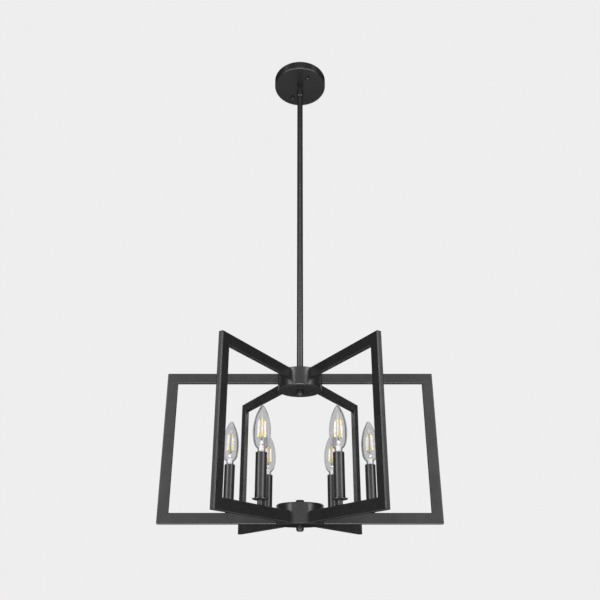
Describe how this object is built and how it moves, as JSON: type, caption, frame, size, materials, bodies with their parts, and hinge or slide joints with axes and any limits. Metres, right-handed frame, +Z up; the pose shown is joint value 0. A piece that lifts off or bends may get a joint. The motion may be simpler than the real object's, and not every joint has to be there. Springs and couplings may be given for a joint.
{
  "type": "ceiling chandelier",
  "caption": "Chandelier on a rigid stem: upright rectangular tube frames stand round two drum hubs, with a candle and screw-in bulb on each lower arm.",
  "frame": {"origin": "centre of the mounting plate's upper face, on the ceiling", "axes": "+Z up along the stem, X through the two canopy studs, Y through the two outlet box screw slots"},
  "size_m": [0.57, 0.4974, 1.1499],
  "materials": {
    "black_paint": "satin black powder coat on steel",
    "sleeve_black": "semi-gloss black enamel on thin steel tube",
    "zinc_steel": "zinc plated steel",
    "green_screw": "green earth screw",
    "phenolic": "moulded phenolic",
    "bulb_cap": "nickel plated screw cap",
    "bulb_glass": "clear glass",
    "filament": "yellow phosphor on light strips"
  },
  "bodies": {
    "ceiling_mount": {"mounting_plate": "zinc_steel", "ground_screw": "green_screw", "canopy_studs": "zinc_steel", "canopy": "black_paint", "canopy_cap_nuts": "black_paint"},
    "ball_stud": {"swivel_ball_stud": "black_paint", "swivel_nut": "zinc_steel"},
    "hanging_lamp": {"swivel_ring": "black_paint", "swivel_cup": "black_paint", "upper_rod": "black_paint", "rod_coupling": "black_paint", "lower_rod": "black_paint", "upper_hub_cup": "black_paint", "upper_hub_cover": "black_paint", "lower_hub_cup": "black_paint", "lower_hub_cover": "black_paint", "hub_knobs": "black_paint", "hub_pipes": "zinc_steel", "lower_hub_nut": "black_paint", "upper_arm_1": "black_paint", "upper_arm_2": "black_paint", "upper_arm_3": "black_paint", "upper_arm_4": "black_paint", "upper_arm_5": "black_paint", "upper_arm_6": "black_paint", "post_1": "black_paint", "post_2": "black_paint", "post_3": "black_paint", "post_4": "black_paint", "post_5": "black_paint", "post_6": "black_paint", "lower_arm_1": "black_paint", "lower_arm_2": "black_paint", "lower_arm_3": "black_paint", "lower_arm_4": "black_paint", "lower_arm_5": "black_paint", "lower_arm_6": "black_paint", "candle_stems": "black_paint", "candle_cups": "black_paint", "candle_sleeves": "sleeve_black", "lamp_sockets": "phenolic"},
    "bulb_1": {"bulb_1_base": "bulb_cap", "bulb_1_glass": "bulb_glass", "bulb_1_filament": "filament"},
    "bulb_2": {"bulb_2_base": "bulb_cap", "bulb_2_glass": "bulb_glass", "bulb_2_filament": "filament"},
    "bulb_3": {"bulb_3_base": "bulb_cap", "bulb_3_glass": "bulb_glass", "bulb_3_filament": "filament"},
    "bulb_4": {"bulb_4_base": "bulb_cap", "bulb_4_glass": "bulb_glass", "bulb_4_filament": "filament"},
    "bulb_5": {"bulb_5_base": "bulb_cap", "bulb_5_glass": "bulb_glass", "bulb_5_filament": "filament"},
    "bulb_6": {"bulb_6_base": "bulb_cap", "bulb_6_glass": "bulb_glass", "bulb_6_filament": "filament"}
  },
  "joints": [
    {"name": "swivel_turn", "type": "hinge", "parent": "ceiling_mount", "child": "ball_stud", "pos_m": [0, 0, -0.022], "axis": [0, 0, 1], "range_deg": [-180, 180]},
    {"name": "stem_tilt", "type": "hinge", "parent": "ball_stud", "child": "hanging_lamp", "pos_m": [0, 0, -0.0352], "axis": [1, 0, 0], "range_deg": [-20, 20]},
    {"name": "bulb_1_unscrew", "type": "hinge", "parent": "hanging_lamp", "child": "bulb_1", "pos_m": [0.144, 0, -1.0362], "axis": [0, 0, 1], "range_deg": [0, 1080]},
    {"name": "bulb_2_unscrew", "type": "hinge", "parent": "hanging_lamp", "child": "bulb_2", "pos_m": [0.072, 0.12471, -1.0362], "axis": [0, 0, 1], "range_deg": [0, 1080]},
    {"name": "bulb_3_unscrew", "type": "hinge", "parent": "hanging_lamp", "child": "bulb_3", "pos_m": [-0.072, 0.12471, -1.0362], "axis": [0, 0, 1], "range_deg": [0, 1080]},
    {"name": "bulb_4_unscrew", "type": "hinge", "parent": "hanging_lamp", "child": "bulb_4", "pos_m": [-0.144, 0, -1.0362], "axis": [0, 0, 1], "range_deg": [0, 1080]},
    {"name": "bulb_5_unscrew", "type": "hinge", "parent": "hanging_lamp", "child": "bulb_5", "pos_m": [-0.072, -0.12471, -1.0362], "axis": [0, 0, 1], "range_deg": [0, 1080]},
    {"name": "bulb_6_unscrew", "type": "hinge", "parent": "hanging_lamp", "child": "bulb_6", "pos_m": [0.072, -0.12471, -1.0362], "axis": [0, 0, 1], "range_deg": [0, 1080]}
  ]
}
